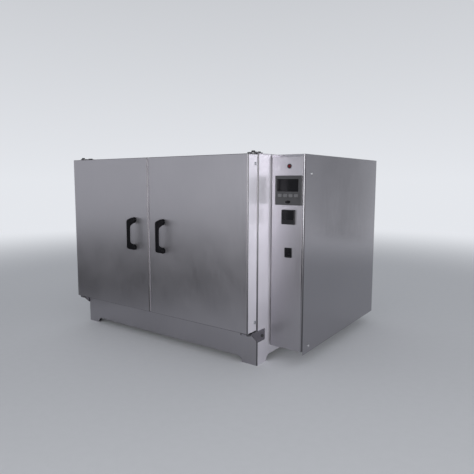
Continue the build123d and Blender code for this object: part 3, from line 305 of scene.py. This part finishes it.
key_plastic = cast("key_plastic", (0.11, 0.11, 0.115), 0.5, Specular_IOR_Level=0.25)
switch_plastic = cast("switch_plastic", (0.004, 0.004, 0.005), 0.3, Specular_IOR_Level=0.2)
lamp_red = cast("lamp_red", (0.1, 0.003, 0.006), 0.2, depth=0.05, Specular_IOR_Level=0.3)
anodised = cast("anodised", (0.5, 0.5, 0.52), 0.35, metallic=1.0)
gland_plastic = cast("gland_plastic", (0.012, 0.012, 0.013), 0.45)

dress(door_steel, "door_skin_left", "door_skin_right")
dress(case_steel, "front_apron", "front_frame", "control_fascia", "side_panel_left")
# The right side panel takes a copy of the case steel with painted light on its left and right faces
dress(strip_steel_painted_light, "side_panel_right")
dress(side_steel, "control_cover", "hinge_bracket_left", "hinge_bracket_right")
dress(top_steel, "top_panel")
dress(dull_steel, "hinge_plates")
dress(inner_steel, "chamber_liner", "duct_panel", "service_plate", "rack_left", "rack_right")
dress(inner_steel, "door_liner_left", "door_liner_right", "exhaust_tube", "impeller")
dress(zinc, "rear_panel", "base_pan", "control_chassis", "control_back")
dress(bright, "panel_screws")
dress(zinc, "door_screws_left", "door_screws_right")
dress(bright, "temperature_probe", "fan_shaft")
dress(wire, "upper_shelf", "lower_shelf")
dress(blackened, "hinge_pins", "door_magnets", "lamp_bezel", "hinge_screws")
dress(machined, "pivot_sockets_left", "pivot_sockets_right")
dress(scorched, "heaters")
dress(motor_paint, "fan_motor")
dress(wool, "insulation", "door_insulation_left", "door_insulation_right")
dress(silicone, "door_gasket_left", "door_gasket_right")
dress(handle_plastic, "handle_left", "handle_right")
dress(case_plastic, "controller_body")
dress(dark_plastic, "limiter_body")
dress(window_plastic, "controller_window", "limiter_window")
dress(key_plastic, "key_1", "key_2", "key_3", "key_4")
dress(switch_plastic, "rocker", "rocker_bezel")
dress(lamp_red, "lamp_lens")
dress(anodised, "relay")
dress(gland_plastic, "cable_gland")

# Pieces that are shaped here


def new_piece(name, mesh, material, body, nodes):
    """Links a finished mesh as a piece of a body. It stands for the CAD nodes, if any."""
    data = bpy.data.meshes.new(name)
    mesh.to_mesh(data)
    mesh.free()
    for polygon in data.polygons:
        polygon.use_smooth = True
    data.materials.append(material)
    piece = bpy.data.objects.new(name, data)
    bpy.context.collection.objects.link(piece)
    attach(piece, body)
    if nodes:
        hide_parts(*nodes)
    return piece


FORWARD = Vector((0, -1, 0))
LATHE_SEGMENTS = 32


def lathe(mesh, centre, profile):
    """Closed turned form: radii in millimetres, at distances to the front of a centre."""
    across = FORWARD.orthogonal().normalized()
    step = 2 * math.pi / LATHE_SEGMENTS
    turns = [Quaternion(FORWARD, step * n) @ across for n in range(LATHE_SEGMENTS)]
    rings = []
    for radius, reach in profile:
        ring_centre = Vector(centre) + FORWARD * reach * MM
        rings.append([mesh.verts.new(ring_centre + turn * radius * MM) for turn in turns])
    for low, high in zip(rings, rings[1:]):
        for n in range(LATHE_SEGMENTS):
            m = (n + 1) % LATHE_SEGMENTS
            mesh.faces.new((low[n], low[m], high[m], high[n]))
    mesh.faces.new(reversed(rings[0]))
    mesh.faces.new(rings[-1])


# Handle: millimetres from the door and from the handle's middle, for its upper half
HANDLE_OUTER = [
    (2, 62), (10, 61.5), (20, 59), (28, 56.5), (32.5, 54.5), (35, 51.5), (36, 48), (36, 24), (36, 0),
]
HANDLE_INNER = [
    (2, 42), (9, 41), (18, 37), (24, 33.8), (27, 30.5), (28.4, 26), (28.6, 21), (28.6, 12), (28.6, 0),
]
HANDLE_HALF_WIDTH = 6.2
HANDLE_EDGE = 3.2
EDGE_SEGMENTS = 4
EDGE_ANGLE = 50

# Turned foot: its radii and distances from the door, in millimetres
FOOT_PROFILE = [(9.8, 0.0), (10.0, 0.6), (10.0, 4.5), (9.2, 7.5), (7.8, 10.5), (5.0, 12.0)]
FOOT_RADIUS = 10.0


def add_handle(side):
    low, high = (Vector(corner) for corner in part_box(f"handle_{side}"))
    middle = (low + high) / 2
    mesh = bmesh.new()
    outer = HANDLE_OUTER + [(d, -h) for d, h in HANDLE_OUTER[-2::-1]]
    inner = HANDLE_INNER + [(d, -h) for d, h in HANDLE_INNER[-2::-1]]
    strips = []
    for x in (-HANDLE_HALF_WIDTH * MM, HANDLE_HALF_WIDTH * MM):
        strips.append([
            [mesh.verts.new((middle.x + x, high.y - d * MM, middle.z + h * MM)) for d, h in line]
            for line in (outer, inner)
        ])
    (outer_a, inner_a), (outer_b, inner_b) = strips
    for n in range(len(outer) - 1):
        mesh.faces.new((outer_a[n], outer_a[n + 1], outer_b[n + 1], outer_b[n]))
        mesh.faces.new((inner_a[n], inner_b[n], inner_b[n + 1], inner_a[n + 1]))
        mesh.faces.new((outer_a[n], inner_a[n], inner_a[n + 1], outer_a[n + 1]))
        mesh.faces.new((outer_b[n], outer_b[n + 1], inner_b[n + 1], inner_b[n]))
    for end in (0, -1):
        mesh.faces.new((outer_a[end], outer_b[end], inner_b[end], inner_a[end]))
    for height in (low.z + FOOT_RADIUS * MM, high.z - FOOT_RADIUS * MM):
        lathe(mesh, (middle.x, high.y, height), FOOT_PROFILE)
    bmesh.ops.recalc_face_normals(mesh, faces=mesh.faces)
    replaced = [f"handle_{side}"]
    piece = new_piece(f"grip_{side}", mesh, handle_plastic, f"{side}_door", replaced)
    bevel = piece.modifiers.new("edges", "BEVEL")
    bevel.width = HANDLE_EDGE * MM
    bevel.segments = EDGE_SEGMENTS
    bevel.limit_method = "ANGLE"
    bevel.angle_limit = math.radians(EDGE_ANGLE)


for door_side in ("left", "right"):
    add_handle(door_side)

# Oval of the larger controller: its half width at distances from the front, in millimetres
OVAL_DROP = 37.5
OVAL_HEIGHT_SHARE = 4.8 / 9.3
OVAL_PROFILE = [(9.3, -0.6), (9.3, 0.1), (9.02, 0.25), (8.37, 0.4), (6.51, 0.5), (2.79, 0.55)]


def add_oval():
    low, high = (Vector(corner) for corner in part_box("controller_body"))
    place = Vector(((low.x + high.x) / 2, low.y, (low.z + high.z) / 2 - OVAL_DROP * MM))
    mesh = bmesh.new()
    lathe(mesh, place, OVAL_PROFILE)
    for vert in mesh.verts:
        vert.co.z = place.z + (vert.co.z - place.z) * OVAL_HEIGHT_SHARE
    new_piece("controller_oval", mesh, window_plastic, "cabinet", [])


add_oval()

# Studio, in metres, degrees and watts

FLOOR_RADIUS = 14.0
FLOOR_SEGMENTS = 96
FLOOR_BLEND = (1.6, 4.4)
FLOOR_COLOUR = (0.74, 0.75, 0.77)
FLOOR_ROUGHNESS = 0.75
FLOOR_GRAIN = 40.0
FLOOR_VARIATION = 0.01
HORIZON = (0.78, 0.8, 0.84)
ZENITH = (0.3, 0.31, 0.33)
ZENITH_HEIGHT = 0.9

# Cards: place, turns, radii and how much they darken
CARD_COLOUR = (0.02, 0.02, 0.022)
CARD_ROUGHNESS = 0.9
CARD_SEGMENTS = 64
CARD_EDGE = 0.6
CARDS = [
    ("card_front", (-1.15, -2.05, 0.003), (0, 0, -26.6), (3.4, 1.75), 0.97),
    ("card_band", (1.72, 3.0, 0.9), (90, 0, 0), (0.4, 1.6), 0.55),
    ("card_rear", (3.3, 3.05, 0.9), (90, 0, 0), (1.6, 1.6), 0.35),
]
KEY = {"place": (2.3, -2.95, 0.62), "target": (0.42, -0.3, 0.45), "size": (1.4, 1.15), "power": 72}


def new_disc(name, segments, radius):
    mesh = bmesh.new()
    bmesh.ops.create_circle(mesh, cap_ends=True, segments=segments, radius=radius)
    data = bpy.data.meshes.new(name)
    mesh.to_mesh(data)
    mesh.free()
    disc = bpy.data.objects.new(name, data)
    bpy.context.collection.objects.link(disc)
    material, nodes = new_material(name)
    data.materials.append(material)
    return disc, nodes


def from_middle(nodes):
    """Distance from the middle of a disc, in its own units."""
    place = nodes.add("ShaderNodeTexCoord").outputs["Object"]
    distance = nodes.add("ShaderNodeVectorMath", operation="LENGTH")
    nodes.join(place, distance.inputs[0])
    return distance.outputs["Value"]


def mixed(nodes, factor, first, second):
    """Output of a disc's material: two shaders, mixed by a factor."""
    blend = nodes.add("ShaderNodeMixShader")
    out = nodes.add("ShaderNodeOutputMaterial")
    nodes.join(factor, blend.inputs["Fac"])
    nodes.join(first, blend.inputs[1])
    nodes.join(second, blend.inputs[2])
    nodes.join(blend.outputs["Shader"], out.inputs["Surface"])


def add_floor():
    """Pale floor, as bright as the backdrop far from the object."""
    floor, nodes = new_disc("floor", FLOOR_SEGMENTS, FLOOR_RADIUS)
    near = nodes.add("ShaderNodeBsdfPrincipled")
    near.inputs["Roughness"].default_value = FLOOR_ROUGHNESS
    grain = noise(nodes, FLOOR_GRAIN, detail=4.0)
    tone = spread(nodes, grain, 1 - FLOOR_VARIATION, 1 + FLOOR_VARIATION)
    nodes.join(tinted(nodes, FLOOR_COLOUR, tone), near.inputs["Base Color"])
    far = nodes.add("ShaderNodeEmission")
    far.inputs["Color"].default_value = (*HORIZON, 1)
    blend = ranged(nodes, from_middle(nodes), *FLOOR_BLEND, 0.0, 1.0)
    mixed(nodes, blend, near.outputs["BSDF"], far.outputs["Emission"])


def add_world():
    """Pale studio all round, brightest at the horizon."""
    world = bpy.data.worlds.new("studio")
    bpy.context.scene.world = world
    world.use_nodes = True
    nodes = Nodes(world.node_tree)
    direction = nodes.add("ShaderNodeTexCoord").outputs["Generated"]
    parts = nodes.add("ShaderNodeSeparateXYZ")
    ramp = nodes.add("ShaderNodeValToRGB")
    ramp.color_ramp.elements[0].position = 0.0
    ramp.color_ramp.elements[0].color = (*HORIZON, 1)
    ramp.color_ramp.elements[1].position = ZENITH_HEIGHT
    ramp.color_ramp.elements[1].color = (*ZENITH, 1)
    background = nodes.add("ShaderNodeBackground")
    out = nodes.add("ShaderNodeOutputWorld")
    nodes.join(direction, parts.inputs["Vector"])
    nodes.join(parts.outputs["Z"], ramp.inputs["Fac"])
    nodes.join(ramp.outputs["Color"], background.inputs["Color"])
    nodes.join(background.outputs["Background"], out.inputs["Surface"])


def add_card(name, place, turns, radii, darkness):
    """Dark oval card with a soft edge that stands out of the picture and only shows in the metal."""
    card, nodes = new_disc(name, CARD_SEGMENTS, 1.0)
    card.location = place
    card.rotation_euler = [math.radians(turn) for turn in turns]
    card.scale = (*radii, 1)
    card.visible_camera = False
    card.visible_diffuse = False
    card.visible_shadow = False
    clear = nodes.add("ShaderNodeBsdfTransparent")
    cloth = nodes.add("ShaderNodeBsdfPrincipled")
    cloth.inputs["Base Color"].default_value = (*CARD_COLOUR, 1)
    cloth.inputs["Roughness"].default_value = CARD_ROUGHNESS
    cover = ranged(nodes, from_middle(nodes), CARD_EDGE, 1.0, darkness, 0.0)
    mixed(nodes, cover, clear.outputs["BSDF"], cloth.outputs["BSDF"])


def add_softbox(name, place, target, size, power):
    data = bpy.data.lights.new(name, "AREA")
    data.shape = "RECTANGLE"
    data.size = size[0]
    data.size_y = size[1]
    data.energy = power
    light = bpy.data.objects.new(name, data)
    light.location = place
    light.rotation_euler = (Vector(target) - Vector(place)).to_track_quat("-Z", "Y").to_euler()
    light.visible_camera = False
    bpy.context.collection.objects.link(light)


add_floor()
add_world()
for card_values in CARDS:
    add_card(*card_values)
add_softbox("key", **KEY)

bpy.context.scene.view_settings.view_transform = "Standard"
